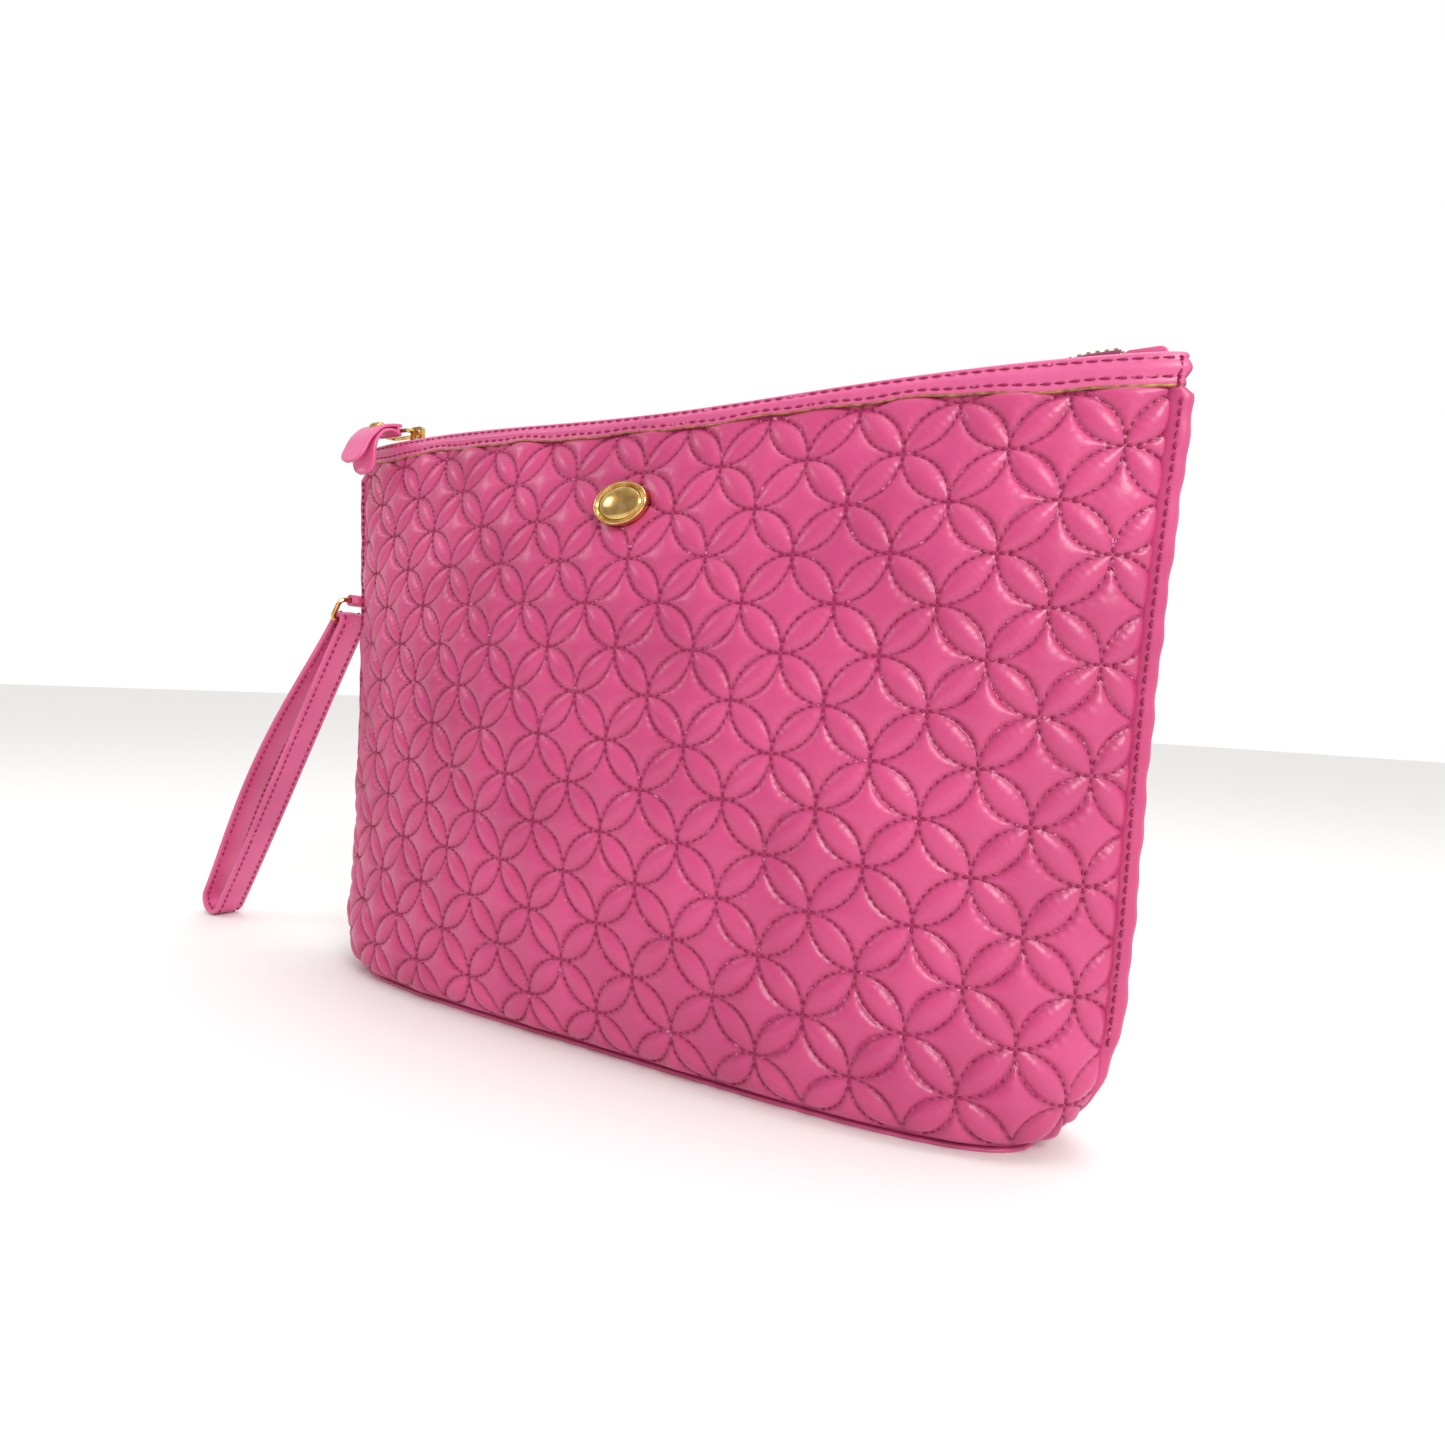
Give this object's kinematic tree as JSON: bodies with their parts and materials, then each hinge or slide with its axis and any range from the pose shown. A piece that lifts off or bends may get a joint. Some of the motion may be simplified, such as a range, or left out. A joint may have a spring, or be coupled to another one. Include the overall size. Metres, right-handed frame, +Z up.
{
  "type": "makeup bag",
  "caption": "Quilted leather zip pouch on a flat base, with a sliding zip, folded pull tab, opening mouth and a wrist strap on a side ring.",
  "frame": {"origin": "centre of the flat underside of the base", "axes": "+X along the width to the right seen from the front, the front faces -Y, +Z up"},
  "size_m": [0.3771, 0.064, 0.1983],
  "materials": {
    "quilted_leather": "smooth coated leather, quilted over foam",
    "smooth_leather": "smooth coated leather, satin",
    "lining_cloth": "plain woven cloth",
    "zip_tape": "woven tape",
    "gold_metal": "polished gold plate",
    "base_board": "pressed fibre board"
  },
  "bodies": {
    "bag_base": {"left_side_panel": "quilted_leather", "right_side_panel": "quilted_leather", "base_panel": "smooth_leather", "left_side_band": "smooth_leather", "right_side_band": "smooth_leather", "left_end_tab": "smooth_leather", "right_end_tab": "smooth_leather", "strap_tab": "smooth_leather", "left_side_lining": "lining_cloth", "right_side_lining": "lining_cloth", "base_lining": "lining_cloth", "left_front_zip_tape": "zip_tape", "left_back_zip_tape": "zip_tape", "right_front_zip_tape": "zip_tape", "right_back_zip_tape": "zip_tape", "left_front_zip_teeth": "gold_metal", "left_back_zip_teeth": "gold_metal", "right_front_zip_teeth": "gold_metal", "right_back_zip_teeth": "gold_metal", "zip_top_stop_front": "gold_metal", "zip_top_stop_back": "gold_metal", "zip_bottom_stop": "gold_metal", "base_board": "base_board"},
    "front_wall": {"front_panel": "quilted_leather", "front_band": "smooth_leather", "front_lining": "lining_cloth", "front_zip_tape": "zip_tape", "front_zip_teeth": "gold_metal", "badge_plaque": "gold_metal"},
    "back_wall": {"back_panel": "quilted_leather", "back_band": "smooth_leather", "back_lining": "lining_cloth", "back_zip_tape": "zip_tape", "back_zip_teeth": "gold_metal"},
    "zip_slider": {"slider_body": "gold_metal", "slider_crown": "gold_metal"},
    "pull_link": {"pull_link": "gold_metal"},
    "pull_tab": {"pull_tab": "smooth_leather", "pull_rivet": "gold_metal"},
    "strap_ring": {"strap_ring": "gold_metal"},
    "wrist_strap": {"wrist_strap": "smooth_leather"}
  },
  "joints": [
    {"name": "zip_slide", "type": "slide", "parent": "bag_base", "child": "zip_slider", "axis": [1, 0, 0], "range_m": [0, 0.217]},
    {"name": "mouth_front", "type": "hinge", "parent": "bag_base", "child": "front_wall", "pos_m": [0, -0.0205, 0.002], "axis": [1, 0, 0], "range_deg": [0, 9]},
    {"name": "mouth_back", "type": "hinge", "parent": "bag_base", "child": "back_wall", "pos_m": [0, 0.0205, 0.002], "axis": [1, 0, 0], "range_deg": [-9, 0]},
    {"name": "pull_link_flip", "type": "hinge", "parent": "zip_slider", "child": "pull_link", "pos_m": [-0.116, 0, 0.1956], "axis": [0, -1, 0], "range_deg": [-180, 0]},
    {"name": "pull_tab_lift", "type": "hinge", "parent": "pull_link", "child": "pull_tab", "pos_m": [-0.1247, -0.0045, 0.1956], "axis": [-1, 0, 0], "range_deg": [0, 110]},
    {"name": "strap_ring_swing", "type": "hinge", "parent": "bag_base", "child": "strap_ring", "pos_m": [-0.1456, 0, 0.134], "axis": [0, 1, 0], "range_deg": [0, 60]},
    {"name": "strap_swing", "type": "hinge", "parent": "strap_ring", "child": "wrist_strap", "pos_m": [-0.15046, 0, 0.12642], "axis": [0, 1, 0], "range_deg": [0, 60]}
  ],
  "couplings": [
    {"joint": "mouth_back", "follows": "mouth_front", "ratio": -1}
  ]
}
